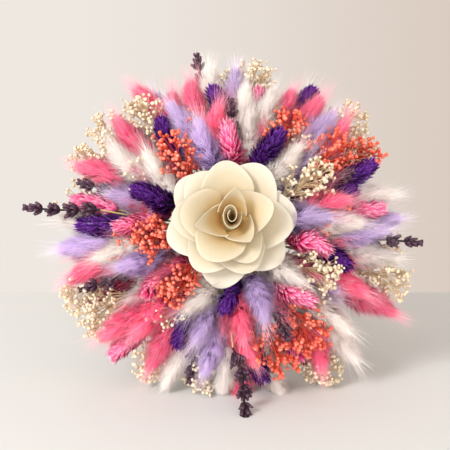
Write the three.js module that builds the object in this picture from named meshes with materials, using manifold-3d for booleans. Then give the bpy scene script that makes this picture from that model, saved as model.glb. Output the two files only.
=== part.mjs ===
// A hand-tied bunch of dried flowers lying on its side: one wooden rose in the middle of a dome of bunny tail
// grass, canary grass, lavender and broom bloom, wired two to four to a spray and bound with twine below the dome.
// Millimetres and degrees. The bunch is planned upright, with its axis along Z and the middle of the twine at the
// origin, and is then laid down: its face looks along -Y and a little up, and its cut stems point along +Y.
import * as THREE from "three";
import { mergeVertices } from "three/addons/utils/BufferGeometryUtils.js";
import Module from "manifold-3d";

// ---- Overall sizes ----
const STEM_BELOW_TWINE = 168; // from the middle of the twine to the cut ends
const DOME_RADIUS = 105; // from the axis to the tips of the outer flowers
const DOME_FRONT = 80; // height of the flower tips next to the rose
const DOME_DEPTH = 30; // how much lower the tips at DOME_RADIUS are
const FRONT_REST = 110; // how far below the axis the dome rests on the table
const CUT_SPREAD = 28; // radius over which the cut ends splay out
const GAP = 0.6; // clearance between any two pieces
const SIDES = 5; // sides of every stem and flower head

// ---- Twine ----
const TWINE_DIAMETER = 2.2;
const TWINE_TURNS = 8;
const TWINE_HEIGHT = TWINE_DIAMETER * TWINE_TURNS;
const SPRAY_STEM = 0.95; // radius of the wired stem that the flowers of one spray share
const BUNDLE_ROOM = 8.4; // how many half spacings of the stems fit from the axis to the twine
const BUNDLE_RADIUS = BUNDLE_ROOM * (SPRAY_STEM + GAP / 2);

// ---- Flowers: head length and radius, stem radius, and the head's outline as [share of length, share of radius] ----
const WHORLS = 4;
const LAVENDER_OUTLINE = Array.from({ length: WHORLS }, (_, i) => [
  [i / WHORLS + 0.02, 0.35],
  [i / WHORLS + 0.14, 1 - 0.08 * i],
]).flat();
const KINDS = {
  bunny_tail: {
    length: 33,
    radius: 6.6,
    stem: 0.65,
    outline: [[0, 0.3], [0.1, 0.78], [0.32, 1], [0.6, 0.88], [0.84, 0.52]],
  },
  canary_grass: {
    length: 31,
    radius: 6.6,
    stem: 0.7,
    outline: [[0, 0.3], [0.1, 0.75], [0.35, 1], [0.65, 0.85], [0.88, 0.45]],
  },
  lavender: { length: 47, radius: 4.4, stem: 0.75, outline: LAVENDER_OUTLINE },
  broom_bloom: {
    length: 40,
    radius: 9.5,
    stem: 0.75,
    outline: [[0, 0.12], [0.3, 0.5], [0.6, 0.95], [0.85, 0.85], [0.97, 0.45]],
  },
};

// ---- Planting plan: each row is one spray, and each flower of it is a clock angle and the reach of its tip ----
// The clock runs anticlockwise from the right, seen from the front, and the reach is measured from the axis.
// A third number is a lean of the flower's own, and a fourth one a tip height of its own.
const PLAN = [
  ["lavender", "dark_lavender", [
    [[101, 117], [89, 76]],
    [[164, 99], [176, 127, 84, 62], [204, 101]],
    [[256, 102], [274, 121, 66, 84], [294, 82]],
    [[354, 120, 86, 56], [21, 82]],
  ]],
  ["canary_grass", "purple_canary_grass", [
    [[98, 89], [122, 80], [59, 65]],
    [[59, 105], [23, 99], [14, 82]],
    [[338, 79], [282, 103], [266, 61], [247, 84]],
    [[180, 97], [164, 63]],
  ]],
  ["canary_grass", "pink_canary_grass", [
    [[79, 90], [93, 62]],
    [[5, 98], [339, 65]],
    [[314, 75], [297, 97]],
    [[172, 104], [184, 72], [223, 72], [228, 113]],
  ]],
  ["bunny_tail", "pink_bunny_tail", [
    [[113, 92], [106, 95], [95, 72]],
    [[124, 109], [138, 98], [158, 105]],
    [[65, 93], [55, 98], [42, 99]],
    [[199, 107], [221, 107], [230, 92], [241, 103]],
    [[276, 72], [279, 90], [273, 111]],
    [[302, 108], [332, 115]],
    [[332, 94], [9, 72]],
  ]],
  ["bunny_tail", "lilac_bunny_tail", [
    [[118, 85], [108, 63], [88, 99]],
    [[46, 94], [2, 106], [356, 96]],
    [[168, 76], [188, 107], [204, 76]],
    [[288, 66], [327, 80], [0, 60]],
    [[260, 96], [254, 78]],
  ]],
  ["bunny_tail", "white_bunny_tail", [
    [[97, 101], [83, 86], [80, 66]],
    [[73, 90], [46, 60]],
    [[143, 66], [148, 88], [178, 108], [196, 84]],
    [[11, 102], [358, 80], [348, 104]],
    [[320, 61], [317, 98], [313, 114]],
    [[243, 62], [248, 108], [267, 108], [285, 113]],
  ]],
  ["broom_bloom", "coral_broom_bloom", [
    [[60, 78], [28, 106], [37, 88]],
    [[130, 61], [193, 58]],
    [[239, 62], [290, 99], [303, 94]],
  ]],
  ["broom_bloom", "cream_broom_bloom", [
    [[142, 110], [129, 100], [155, 111]],
    [[94, 103], [82, 109], [42, 113], [25, 66]],
    [[204, 115], [215, 110]],
    [[241, 110], [260, 106]],
    [[342, 116], [329, 74], [302, 119]],
  ]],
];

// ---- Rose of shaved wood: its seat on the stem, and its petals from the outside in ----
const ROSE_SEAT = 79; // height of the lowest petal's foot
const ROSE_STEM_RADIUS = 1.6;
const PETAL_THICKNESS = 0.6;
const SEAT_STEP = 1.4; // how much higher each layer's foot sits
const SEAT_RADIUS = 10.2; // of the lowest layer
const HEART_RADIUS = 4.8;
const HEART_HEIGHT = 17;
const HEART_SEAT = 0.45; // from the heart to the middle of the innermost petal's foot
// name, clock angle, layer, length, half width, angle from the axis at the foot, curl outwards to the edge
const PETALS = [
  ["right_outer", 8, 0, 30, 20, 80, 10],
  ["top_right_outer", 58, 1, 30, 21, 77, 9],
  ["top_left_outer", 143, 0, 30, 20, 80, 10],
  ["left_outer", 196, 1, 30, 20, 78, 9],
  ["bottom_outer", 259, 0, 30, 20, 80, 10],
  ["bottom_right_outer", 318, 1, 30, 19, 78, 10],
  ["right_second", 355, 2, 28, 19, 71, 10],
  ["top_left_second", 131, 2, 28, 18, 72, 10],
  ["top_second", 97, 3, 28, 19, 69, 9],
  ["bottom_left_second", 236, 3, 28, 19, 70, 10],
  ["left_second", 177, 4, 28, 18, 66, 10],
  ["bottom_right_second", 286, 4, 27, 18, 67, 11],
  ["left_third", 170, 5, 26, 19, 54, 12],
  ["bottom_right_third", 294, 5, 23, 16, 55, 12],
  ["bottom_third", 244, 6, 26, 19, 49, 15],
  ["right_third", 25, 6, 22, 17, 43, 8],
  ["bottom_right_inner", 306, 7, 21, 15, 31, 10],
  ["left_inner", 188, 8, 21, 15, 25, 16],
  ["top_inner", 84, 9, 20, 14, 20, 16],
];

const LAYERS = 1 + Math.max(...PETALS.map((p) => p[2]));
const SEAT_TAPER = (SEAT_RADIUS - HEART_RADIUS - HEART_SEAT) / (LAYERS - 1); // how much nearer the axis each is

const rad = THREE.MathUtils.degToRad;
const V = (x, y, z) => new THREE.Vector3(x, y, z);
const polar = (clock, r, z) => V(r * Math.cos(rad(clock)), r * Math.sin(rad(clock)), z);

// ---- How the bunch lies: the table touches the dome at FRONT_REST and the cut ends ----
const REST_HEIGHT = DOME_FRONT - DOME_DEPTH; // of the dome's part that meets the table
const TILT = Math.atan2(FRONT_REST - CUT_SPREAD, REST_HEIGHT + STEM_BELOW_TWINE);
const TABLE_UP = V(0, Math.cos(TILT), Math.sin(TILT));
const TABLE_HEIGHT = -CUT_SPREAD * Math.cos(TILT) - STEM_BELOW_TWINE * Math.sin(TILT) - 1;

// A repeatable number from 0 to 1 for piece i.
const scatter = (i) => (Math.sin(i * 12.9898 + 4.1) * 43758.5453) % 1;

// ---- Planned shape of one flower: points from the twine to the tip, and the radius to keep clear at each ----
const STEM_STEPS = 5;
const HEAD_STEPS = 3;

function planned(kind, foot, [clock, reach, ownLean, ownHeight]) {
  const { length, radius, stem } = KINDS[kind];
  const out = (reach - 60) / (DOME_RADIUS - 60);
  const lean = rad(ownLean ?? Math.min(58 + 28 * out, 92));
  const tipHeight = ownHeight ?? DOME_FRONT - DOME_DEPTH * Math.max(out, 0) ** 1.4;
  const along = polar(clock, Math.sin(lean), Math.cos(lean));
  const base = polar(clock, reach, tipHeight).addScaledVector(along, -length);
  const pull = base.distanceTo(foot) * 0.42;
  const curve = new THREE.CubicBezierCurve3(
    foot,
    foot.clone().add(V(0, 0, pull)),
    base.clone().addScaledVector(along, -pull),
    base,
  );
  const points = curve.getPoints(STEM_STEPS);
  const radii = points.map((_, k) => (k < 2 ? SPRAY_STEM : stem));
  for (let i = 1; i <= HEAD_STEPS; i++) {
    const share = i / HEAD_STEPS;
    points.push(base.clone().addScaledVector(along, length * share - radius * 0.5 * share));
    radii.push(radius * (i === HEAD_STEPS ? 0.72 : 1));
  }
  radii[STEM_STEPS] = radius * 0.55;
  points[0] = foot;
  return { kind, foot, points, radii, rest: points.map((p) => p.clone()) };
}

// The stems of the sprays start spread evenly inside the twine, each on its own side of the bunch.
function spreadFeet(sprays) {
  const feet = sprays.map(({ places }) => {
    const foot = V(0, 0, 0);
    for (const [clock, reach] of places) foot.add(polar(clock, reach, 0));
    return foot.multiplyScalar(BUNDLE_RADIUS / DOME_RADIUS / places.length).setZ(TWINE_HEIGHT / 2);
  });
  const need = 2 * SPRAY_STEM + 2 * GAP;
  for (let round = 0; round < FEET_ROUNDS; round++) {
    feet.forEach((a, i) => {
      for (const b of feet.slice(i + 1)) {
        const apart = a.clone().sub(b);
        const distance = Math.max(apart.length(), 1e-3);
        if (distance >= need) continue;
        apart.multiplyScalar((0.5 * (need - distance)) / distance);
        a.add(apart);
        b.sub(apart);
      }
      const out = Math.hypot(a.x, a.y);
      const most = BUNDLE_RADIUS - SPRAY_STEM - GAP;
      const least = ROSE_STEM_RADIUS + SPRAY_STEM + 2 * GAP;
      const kept = Math.min(Math.max(out, least), most) / out;
      a.set(a.x * kept, a.y * kept, a.z);
    });
  }
  return feet;
}

// ---- Settling: flowers push each other, the rose and the table away until nothing touches ----
const ROSE_EDGE = SEAT_RADIUS + PETALS[0][3] + 1.5;
const FEET_ROUNDS = 500;
const SETTLE_ROUNDS = 260;
const FINISH_ROUNDS = 100; // the last rounds only push apart
const SPRING = 0.03; // pull back to the plan in each round
const SHARED_STEPS = 2; // flowers of one spray may touch over their first steps

function closest(a0, a1, b0, b1) {
  const u = a1.clone().sub(a0);
  const v = b1.clone().sub(b0);
  const w = a0.clone().sub(b0);
  const uu = u.dot(u);
  const uv = u.dot(v);
  const vv = v.dot(v);
  const uw = u.dot(w);
  const vw = v.dot(w);
  const clamp = (x) => Math.min(Math.max(x, 0), 1);
  const det = uu * vv - uv * uv;
  let s = det > 1e-9 ? clamp((uv * vw - vv * uw) / det) : 0;
  const t = clamp((uv * s + vw) / vv);
  s = clamp((uv * t - uw) / uu);
  const apart = w.addScaledVector(u, s).addScaledVector(v, -t);
  return { s, t, apart };
}

function pushPair(a, b) {
  const from = a.foot === b.foot ? SHARED_STEPS : 0;
  for (let i = from; i + 1 < a.points.length; i++) {
    for (let j = from; j + 1 < b.points.length; j++) {
      const widest = Math.max(a.radii[i], a.radii[i + 1]) + Math.max(b.radii[j], b.radii[j + 1]) + GAP;
      const reach = a.steps[i] + b.steps[j] + widest;
      if (a.points[i].distanceToSquared(b.points[j]) > reach * reach) continue;
      const { s, t, apart } = closest(a.points[i], a.points[i + 1], b.points[j], b.points[j + 1]);
      const need = a.radii[i] * (1 - s) + a.radii[i + 1] * s + b.radii[j] * (1 - t) + b.radii[j + 1] * t + GAP;
      const distance = apart.length();
      if (distance >= need) continue;
      const push = apart.multiplyScalar((0.5 * (need - distance)) / Math.max(distance, 1e-6));
      const move = (flower, k, share, way) => {
        if (k > 0 && !flower.fixed) flower.points[k].addScaledVector(push, way * share);
      };
      move(a, i, 1 - s, b.fixed ? 2 : 1);
      move(a, i + 1, s, b.fixed ? 2 : 1);
      move(b, j, 1 - t, a.fixed ? -2 : -1);
      move(b, j + 1, t, a.fixed ? -2 : -1);
    }
  }
}

function keepClear(flower) {
  flower.points.forEach((p, k) => {
    if (k === 0) return;
    const below = TABLE_HEIGHT + flower.radii[k] + GAP - p.dot(TABLE_UP);
    if (below > 0) p.addScaledVector(TABLE_UP, below);
    const roof = ROSE_SEAT - 1 - flower.radii[k] - GAP;
    if (Math.hypot(p.x, p.y) < ROSE_EDGE + flower.radii[k] * 0.6 && p.z > roof) p.z = roof;
  });
}

function keepLengths(flower) {
  for (let k = 1; k < flower.points.length; k++) {
    const step = flower.points[k].clone().sub(flower.points[k - 1]);
    flower.points[k].addScaledVector(step, (flower.steps[k - 1] - step.length()) / step.length());
  }
}

function settle(flowers, fixed) {
  for (const f of [...flowers, ...fixed]) {
    f.steps = f.points.slice(1).map((p, i) => p.distanceTo(f.points[i]));
  }
  for (let round = 0; round < SETTLE_ROUNDS; round++) {
    const finishing = round >= SETTLE_ROUNDS - FINISH_ROUNDS;
    for (const f of flowers) {
      if (!finishing) f.points.forEach((p, k) => k > 0 && p.lerp(f.rest[k], SPRING));
    }
    flowers.forEach((a, i) => {
      for (const b of flowers.slice(i + 1)) pushPair(a, b);
      for (const b of fixed) pushPair(a, b);
    });
    for (const f of flowers) {
      keepLengths(f);
      keepClear(f);
    }
  }
}

// ---- Solids ----
// A closed skin of rings round a centre line, with a raised point at both ends.
function skin(centres, radii) {
  const rings = centres.length;
  const positions = [];
  const index = [];
  let side = V(1, 0.2, 0);
  centres.forEach((c, k) => {
    const ahead = centres[Math.min(k + 1, rings - 1)].clone().sub(centres[Math.max(k - 1, 0)]).normalize();
    side.addScaledVector(ahead, -side.dot(ahead)).normalize();
    const across = ahead.clone().cross(side);
    for (let i = 0; i < SIDES; i++) {
      const a = (i / SIDES) * Math.PI * 2;
      const p = c.clone().addScaledVector(side, radii[k] * Math.cos(a)).addScaledVector(across, radii[k] * Math.sin(a));
      positions.push(p.x, p.y, p.z);
    }
    side = side.clone();
  });
  const ring = (k, i) => k * SIDES + (i % SIDES);
  for (let k = 0; k + 1 < rings; k++) {
    for (let i = 0; i < SIDES; i++) {
      index.push(ring(k, i), ring(k, i + 1), ring(k + 1, i));
      index.push(ring(k, i + 1), ring(k + 1, i + 1), ring(k + 1, i));
    }
  }
  const point = (k, away, raised) => {
    const p = centres[k].clone().add(centres[k].clone().sub(centres[k + away]).setLength(raised));
    positions.push(p.x, p.y, p.z);
    return positions.length / 3 - 1;
  };
  const start = point(0, 1, radii[0] * 0.4);
  const end = point(rings - 1, -1, radii[rings - 1] * 0.9);
  for (let i = 0; i < SIDES; i++) {
    index.push(start, ring(0, i + 1), ring(0, i));
    index.push(end, ring(rings - 1, i), ring(rings - 1, i + 1));
  }
  const geometry = new THREE.BufferGeometry();
  geometry.setAttribute("position", new THREE.Float32BufferAttribute(positions, 3));
  geometry.setIndex(index);
  return geometry;
}

const TWIST = rad(38); // how far the stems turn round each other below the twine
const BRANCH_SHARE = 0.4; // where the branches leave the first step of the spray's stem

// The first flower of a spray carries the stem down to the cut, and the others branch off inside that stem.
function flowerGeometry(flower, first, cutHeight) {
  const { length, radius, stem, outline } = KINDS[flower.kind];
  const centres = flower.points.slice(1, STEM_STEPS);
  const radii = centres.map((_, k) => (k < 1 && flower === first ? SPRAY_STEM : stem));
  const { foot } = flower;
  if (flower === first) {
    const splay = CUT_SPREAD / BUNDLE_RADIUS;
    const cut = V(foot.x, foot.y, 0).applyAxisAngle(V(0, 0, 1), -TWIST).multiplyScalar(splay).setZ(cutHeight);
    centres.unshift(cut, V(foot.x, foot.y, -TWINE_HEIGHT / 2), foot);
    radii.unshift(SPRAY_STEM, SPRAY_STEM, SPRAY_STEM);
  } else {
    centres.unshift(foot.clone().lerp(first.points[1], BRANCH_SHARE));
    radii.unshift(SPRAY_STEM * 0.6);
  }
  const head = flower.points.slice(STEM_STEPS);
  const line = new THREE.CatmullRomCurve3(head, false, "centripetal");
  for (const [share, width] of outline) {
    centres.push(line.getPointAt(Math.min(share * 1.04, 1)));
    radii.push(Math.max(width * radius, stem));
  }
  const ahead = head[HEAD_STEPS].clone().sub(head[HEAD_STEPS - 1]).normalize();
  const left = length * (1 - outline[outline.length - 1][0]) * 0.55;
  centres.push(centres[centres.length - 1].clone().addScaledVector(ahead, left));
  radii.push(radii[radii.length - 1] * 0.45);
  return skin(centres, radii);
}

const wasm = await Module();
wasm.setup();

function solid(geometry) {
  const bare = new THREE.BufferGeometry();
  bare.setAttribute("position", geometry.getAttribute("position"));
  bare.setIndex(geometry.getIndex());
  const merged = mergeVertices(bare, 1e-3);
  const triVerts = new Uint32Array(merged.index.array);
  return new wasm.Manifold(
    new wasm.Mesh({ numProp: 3, vertProperties: merged.attributes.position.array, triVerts }),
  );
}

function joined(geometries) {
  const { vertProperties, triVerts } = geometries.map(solid).reduce((a, b) => a.add(b)).getMesh();
  const geometry = new THREE.BufferGeometry();
  geometry.setAttribute("position", new THREE.BufferAttribute(new Float32Array(vertProperties), 3));
  geometry.setIndex(new THREE.BufferAttribute(new Uint32Array(triVerts), 1));
  return geometry;
}

// A petal is a strip of a cup: it leaves its foot at one angle from the axis and curls outwards to its edge.
const PETAL_ACROSS = 6;
const PETAL_ALONG = 4;

function petalGeometry(clock, layer, length, halfWidth, foot, curl) {
  const footRadius = SEAT_RADIUS - SEAT_TAPER * layer;
  const footHeight = ROSE_SEAT + SEAT_STEP * layer;
  const bend = rad(curl) / length;
  const positions = [];
  const index = [];
  for (const face of [-0.5, 0.5]) {
    for (let j = 0; j <= PETAL_ALONG; j++) {
      for (let i = 0; i <= PETAL_ACROSS; i++) {
        const u = (2 * i) / PETAL_ACROSS - 1;
        const v = j / PETAL_ALONG;
        const s = length * v * (1 - 0.3 * u * u * v);
        const width = halfWidth * (0.24 + 0.76 * Math.sin(Math.min(v * 1.25, 1) * Math.PI * 0.5)) * (1 - 0.16 * v ** 3);
        const lean = rad(foot) + bend * s;
        const r = footRadius + (Math.cos(rad(foot)) - Math.cos(lean)) / bend;
        const z = footHeight + (Math.sin(lean) - Math.sin(rad(foot))) / bend;
        const thick = face * PETAL_THICKNESS;
        const turn = (u * width) / Math.max(r, 5.5);
        const at = rad(clock) + turn;
        const out = r - thick * Math.cos(lean);
        positions.push(out * Math.cos(at), out * Math.sin(at), z + thick * Math.sin(lean));
      }
    }
  }
  const row = PETAL_ACROSS + 1;
  const upper = row * (PETAL_ALONG + 1);
  const quad = (a, b, c, d) => index.push(a, b, c, a, c, d);
  for (let j = 0; j < PETAL_ALONG; j++) {
    for (let i = 0; i < PETAL_ACROSS; i++) {
      const a = j * row + i;
      quad(a, a + 1, a + 1 + row, a + row);
      quad(upper + a, upper + a + row, upper + a + 1 + row, upper + a + 1);
    }
    const left = j * row;
    const right = left + PETAL_ACROSS;
    quad(left, left + row, upper + left + row, upper + left);
    quad(right, upper + right, upper + right + row, right + row);
  }
  for (let i = 0; i < PETAL_ACROSS; i++) {
    const far = PETAL_ALONG * row + i;
    quad(i, upper + i, upper + i + 1, i + 1);
    quad(far, far + 1, upper + far + 1, upper + far);
  }
  const geometry = new THREE.BufferGeometry();
  geometry.setAttribute("position", new THREE.Float32BufferAttribute(positions, 3));
  geometry.setIndex(index);
  return geometry;
}

// The heart is one sheet of wood rolled round the top of the stem.
const HEART_TURNS = 1.9;
const HEART_STEPS = 24;
const HEART_FOOT = ROSE_SEAT + SEAT_STEP * LAYERS + 0.5;

function heartGeometry() {
  const shape = new THREE.Shape();
  const wall = (thick) =>
    Array.from({ length: HEART_STEPS + 1 }, (_, i) => {
      const turn = (i / HEART_STEPS) * HEART_TURNS;
      const r = 1.4 + ((HEART_RADIUS - 1.4 - PETAL_THICKNESS) * turn) / HEART_TURNS + thick;
      return new THREE.Vector2(r * Math.cos(turn * 2 * Math.PI), r * Math.sin(turn * 2 * Math.PI));
    });
  shape.setFromPoints([...wall(PETAL_THICKNESS), ...wall(0).reverse()]);
  const geometry = new THREE.ExtrudeGeometry(shape, { depth: HEART_HEIGHT, bevelEnabled: false });
  return geometry.translate(0, 0, HEART_FOOT);
}

function latheAboutAxis(profile, segments) {
  return new THREE.LatheGeometry(profile.map(([r, z]) => new THREE.Vector2(r, z)), segments).rotateX(Math.PI / 2);
}

// A stick with a cone on it, to which the petals are tied.
function roseStemGeometry() {
  const foot = SEAT_RADIUS - PETAL_THICKNESS - GAP;
  const top = foot - SEAT_TAPER * (LAYERS - 1);
  const topHeight = ROSE_SEAT + SEAT_STEP * (LAYERS - 1);
  return latheAboutAxis([
    [0, -STEM_BELOW_TWINE],
    [ROSE_STEM_RADIUS, -STEM_BELOW_TWINE + 0.5],
    [ROSE_STEM_RADIUS, ROSE_SEAT - 12],
    [foot, ROSE_SEAT - 1.5],
    [top, topHeight],
    [0, topHeight + 0.6],
  ], 12);
}

function twineGeometry() {
  const inner = BUNDLE_RADIUS + GAP;
  const outer = inner + TWINE_DIAMETER;
  const top = TWINE_HEIGHT / 2;
  const round = TWINE_DIAMETER * 0.3;
  return latheAboutAxis([
    [inner, -top],
    [outer - round, -top],
    [outer, -top + round],
    [outer, top - round],
    [outer - round, top],
    [inner, top],
    [inner, -top],
  ], 24);
}

// ---- Materials ----
const COLOURS = {
  dark_lavender: 0x3b2733,
  purple_canary_grass: 0x42147a,
  pink_canary_grass: 0xf2659f,
  pink_bunny_tail: 0xf2587f,
  lilac_bunny_tail: 0xb79ad0,
  white_bunny_tail: 0xe9ddd6,
  coral_broom_bloom: 0xf2735a,
  cream_broom_bloom: 0xf0dfbf,
  rose: 0xf3e6cb,
  twine: 0xb5936a,
  stick: 0xc9b184,
};

function material(name) {
  return new THREE.MeshStandardMaterial({ color: COLOURS[name], roughness: 0.85, metalness: 0 });
}

// ---- Assembly ----
const upright = new THREE.Group();

function add(name, geometry, colour) {
  const mesh = new THREE.Mesh(geometry, material(colour));
  mesh.name = name;
  upright.add(mesh);
}

const sprays = PLAN.flatMap(([kind, colour, rows]) =>
  rows.map((places, i) => ({ kind, colour, places, name: `${colour}_${i + 1}` })),
);
spreadFeet(sprays).forEach((foot, i) => {
  const spray = sprays[i];
  spray.flowers = spray.places.map((place) => planned(spray.kind, foot, place));
});
const roseLine = {
  fixed: true,
  points: [V(0, 0, 0), V(0, 0, ROSE_SEAT - 14), V(0, 0, ROSE_SEAT - 3)],
  radii: [ROSE_STEM_RADIUS, ROSE_STEM_RADIUS, SEAT_RADIUS],
};
settle(sprays.flatMap((spray) => spray.flowers), [roseLine]);
sprays.forEach((spray, i) => {
  const cutHeight = 7 * Math.abs(scatter(i)) - STEM_BELOW_TWINE;
  const parts = spray.flowers.map((flower) => flowerGeometry(flower, spray.flowers[0], cutHeight));
  add(spray.name, joined(parts), spray.colour);
});

for (const [name, ...shape] of PETALS) add(`rose_petal_${name}`, petalGeometry(...shape), "rose");
add("rose_heart", heartGeometry(), "rose");
add("rose_stem", roseStemGeometry(), "stick");
add("binding_twine", twineGeometry(), "twine");

// Lay the bunch down, then set the origin under the middle of its box, on the table.
upright.rotation.x = Math.PI / 2 - TILT;
const bunch = new THREE.Group();
bunch.add(upright);
bunch.updateMatrixWorld(true);
const box = new THREE.Box3().setFromObject(bunch, true);
const middle = box.getCenter(V(0, 0, 0));
bunch.position.set(-middle.x, -middle.y, -box.min.z);

export default bunch;
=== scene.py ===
"""The looks of a bunch of dried flowers: the fur, scales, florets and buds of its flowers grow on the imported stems.

Metres in the scene, millimetres in the sizes below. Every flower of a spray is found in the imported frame, so it
stays where the CAD has it. The rose, the twine and the small flowers are placed on axes read from the frame. Each
piece carries one map, OFBake, on which its colours depend: across it runs from root to tip, and up
it runs over the pieces' own variation.
"""

import math

import bpy
import numpy as np
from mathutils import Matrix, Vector


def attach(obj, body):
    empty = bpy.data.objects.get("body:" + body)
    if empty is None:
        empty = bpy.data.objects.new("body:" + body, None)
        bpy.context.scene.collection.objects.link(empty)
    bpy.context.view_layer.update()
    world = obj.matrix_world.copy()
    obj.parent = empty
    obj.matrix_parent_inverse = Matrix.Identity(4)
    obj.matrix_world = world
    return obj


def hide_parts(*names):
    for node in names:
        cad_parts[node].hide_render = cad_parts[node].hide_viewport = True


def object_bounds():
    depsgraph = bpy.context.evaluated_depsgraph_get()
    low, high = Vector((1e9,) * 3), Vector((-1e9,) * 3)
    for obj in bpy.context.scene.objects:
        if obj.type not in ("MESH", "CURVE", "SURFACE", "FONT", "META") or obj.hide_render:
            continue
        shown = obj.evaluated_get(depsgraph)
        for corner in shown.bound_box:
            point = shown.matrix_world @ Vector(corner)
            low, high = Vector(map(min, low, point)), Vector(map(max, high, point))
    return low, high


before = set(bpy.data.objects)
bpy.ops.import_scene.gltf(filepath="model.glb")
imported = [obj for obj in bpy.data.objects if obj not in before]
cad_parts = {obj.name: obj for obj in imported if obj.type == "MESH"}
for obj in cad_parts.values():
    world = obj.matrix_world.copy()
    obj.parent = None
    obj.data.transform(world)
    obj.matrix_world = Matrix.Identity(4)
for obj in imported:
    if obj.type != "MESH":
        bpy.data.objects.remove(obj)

cad_low, cad_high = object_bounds()
rng = np.random.default_rng(11)

MM = 0.001
SIDES = 5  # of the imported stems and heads
FLOOR_CLEARANCE = 0.2  # nothing is drawn lower than this over the table

# ---- The bunch's own axes ----


def solid(node):
    """The node's points and triangles, with its split corners joined again."""
    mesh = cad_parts[node].data
    mesh.calc_loop_triangles()
    points = np.empty(len(mesh.vertices) * 3)
    mesh.vertices.foreach_get("co", points)
    corners = np.empty(len(mesh.loop_triangles) * 3, np.int32)
    mesh.loop_triangles.foreach_get("vertices", corners)
    points, same = np.unique(np.round(points.reshape(-1, 3), 6), axis=0, return_inverse=True)
    return points, same.ravel()[corners].reshape(-1, 3)


def unit(v):
    return v / np.maximum(np.linalg.norm(v, axis=-1, keepdims=True), 1e-12)


ring = solid("binding_twine")[0]
TWINE_MIDDLE = (ring.min(0) + ring.max(0)) / 2
stick = solid("rose_stem")[0]
# The frontmost point of the rose's stem is on the rim of its top, so this direction is 2.5 degrees lower than the
# packed stem's axis, and all that is placed on these axes is turned by as much round the twine.
AHEAD = unit((stick[stick[:, 1].argmin()] - TWINE_MIDDLE) * (0, 1, 1))
ACROSS = np.array([1.0, 0, 0])
UPWARDS = np.cross(AHEAD, ACROSS)


def placed(points):
    """From millimetres in the upright bunch, twine at the origin and face up, to the scene."""
    return TWINE_MIDDLE + MM * (
        points[..., :1] * ACROSS + points[..., 1:2] * UPWARDS + points[..., 2:] * AHEAD
    )


ROSE_MIDDLE = placed(np.array([0, 0, 84.0]))
ROSE_CLEAR = 43  # beads keep this far from the middle of the rose, and glumes are short there, in millimetres

# ---- Curves ----


class Curve:
    """A smooth line through some points, with a frame of its own that turns with it as little as it can."""

    def __init__(self, points, samples):
        chord = np.concatenate([[0], np.cumsum(np.linalg.norm(np.diff(points, axis=0), axis=1))])
        slope = np.gradient(points, chord, axis=0)
        at = np.linspace(0, chord[-1], samples)
        k = np.clip(np.searchsorted(chord, at, side="right") - 1, 0, len(points) - 2)
        step = (chord[k + 1] - chord[k])[:, None]
        f = (at[:, None] - chord[k][:, None]) / step
        self.points = (
            (2 * f**3 - 3 * f**2 + 1) * points[k]
            + (f**3 - 2 * f**2 + f) * step * slope[k]
            + (3 * f**2 - 2 * f**3) * points[k + 1]
            + (f**3 - f**2) * step * slope[k + 1]
        )
        self.length = chord[-1]
        self.along = unit(np.gradient(self.points, axis=0))
        side = np.cross(self.along[0], (0.3, 0.2, 0.9))
        sides = []
        for t in self.along:
            side = unit(side - t * side.dot(t))
            sides.append(side)
        self.side = np.array(sides)
        self.shares = np.linspace(0, 1, samples)

    def at(self, share):
        """Point, direction, side and third direction at each share of the length."""
        share = np.asarray(share)

        def take(values):
            return np.stack([np.interp(share, self.shares, values[:, i]) for i in range(3)], -1)

        along = unit(take(self.along))
        side = take(self.side)
        side = unit(side - along * (side * along).sum(-1, keepdims=True))
        return take(self.points), along, side, np.cross(along, side)


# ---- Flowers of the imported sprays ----
# Rings of points along a packed head, from its tip to its foot
HEAD_RINGS = {"lavender": 9, "broom_bloom": 6, "bunny_tail": 6, "canary_grass": 6}
BRANCHING = 22 * MM  # the stems of a spray are one solid nearer the twine than this
LEAST_REACH = 40 * MM  # the tip of every head is farther from the twine than this
CUT_END = 10 * MM  # points as near the end of the stem as this belong to the cut
MOST_RINGS = 40  # along one flower and its stem
SHARED_RINGS = 3  # of the stem that a spray shares: its cut end, the twine and just above


def neighbours(points, triangles):
    near = [set() for _ in points]
    for a, b, c in triangles:
        near[a] |= {b, c}
        near[b] |= {a, c}
        near[c] |= {a, b}
    return near


def rings_from(start, near, most):
    """Rings of points at one, two, three... edges from the start."""
    seen, ring = {start}, {start}
    for _ in range(most):
        ring = set().union(*(near[i] for i in ring)) - seen
        if not ring:
            return
        seen |= ring
        yield ring


def read_flowers(node, kind):
    """The centre line and head of each flower of a spray, from the solid that the frame holds."""
    points, triangles = solid(node)
    near = neighbours(points, triangles)
    cut = int(points[:, 1].argmax())
    flowers = []
    for i, p in enumerate(points):
        if np.linalg.norm(p - TWINE_MIDDLE) < LEAST_REACH or len(near[i]) != SIDES:
            continue
        if np.linalg.norm(p - points[cut]) < CUT_END:
            continue
        centres = [p]
        for ring in rings_from(i, near, MOST_RINGS):
            centre = points[list(ring)].mean(0)
            if len(ring) != SIDES or np.linalg.norm(centre - TWINE_MIDDLE) < BRANCHING:
                break
            centres.append(centre)
        centres = np.array(centres)
        if len(centres) < HEAD_RINGS[kind] + 2:
            continue
        head = centres[: HEAD_RINGS[kind] + 1][::-1]
        flowers.append({"head": head, "stem": centres[HEAD_RINGS[kind] :][::-1]})
    shared = [points[cut]] + [points[list(ring)].mean(0) for ring in rings_from(cut, near, SHARED_RINGS)]
    return flowers, np.array(shared)


KINDS = {
    "dark_lavender": "lavender",
    "purple_canary_grass": "canary_grass",
    "pink_canary_grass": "canary_grass",
    "pink_bunny_tail": "bunny_tail",
    "lilac_bunny_tail": "bunny_tail",
    "white_bunny_tail": "bunny_tail",
    "coral_broom_bloom": "broom_bloom",
    "cream_broom_bloom": "broom_bloom",
}

# ---- Pieces ----
MAP_MARGIN = 0.001  # the map keeps this far from its edges


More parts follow.
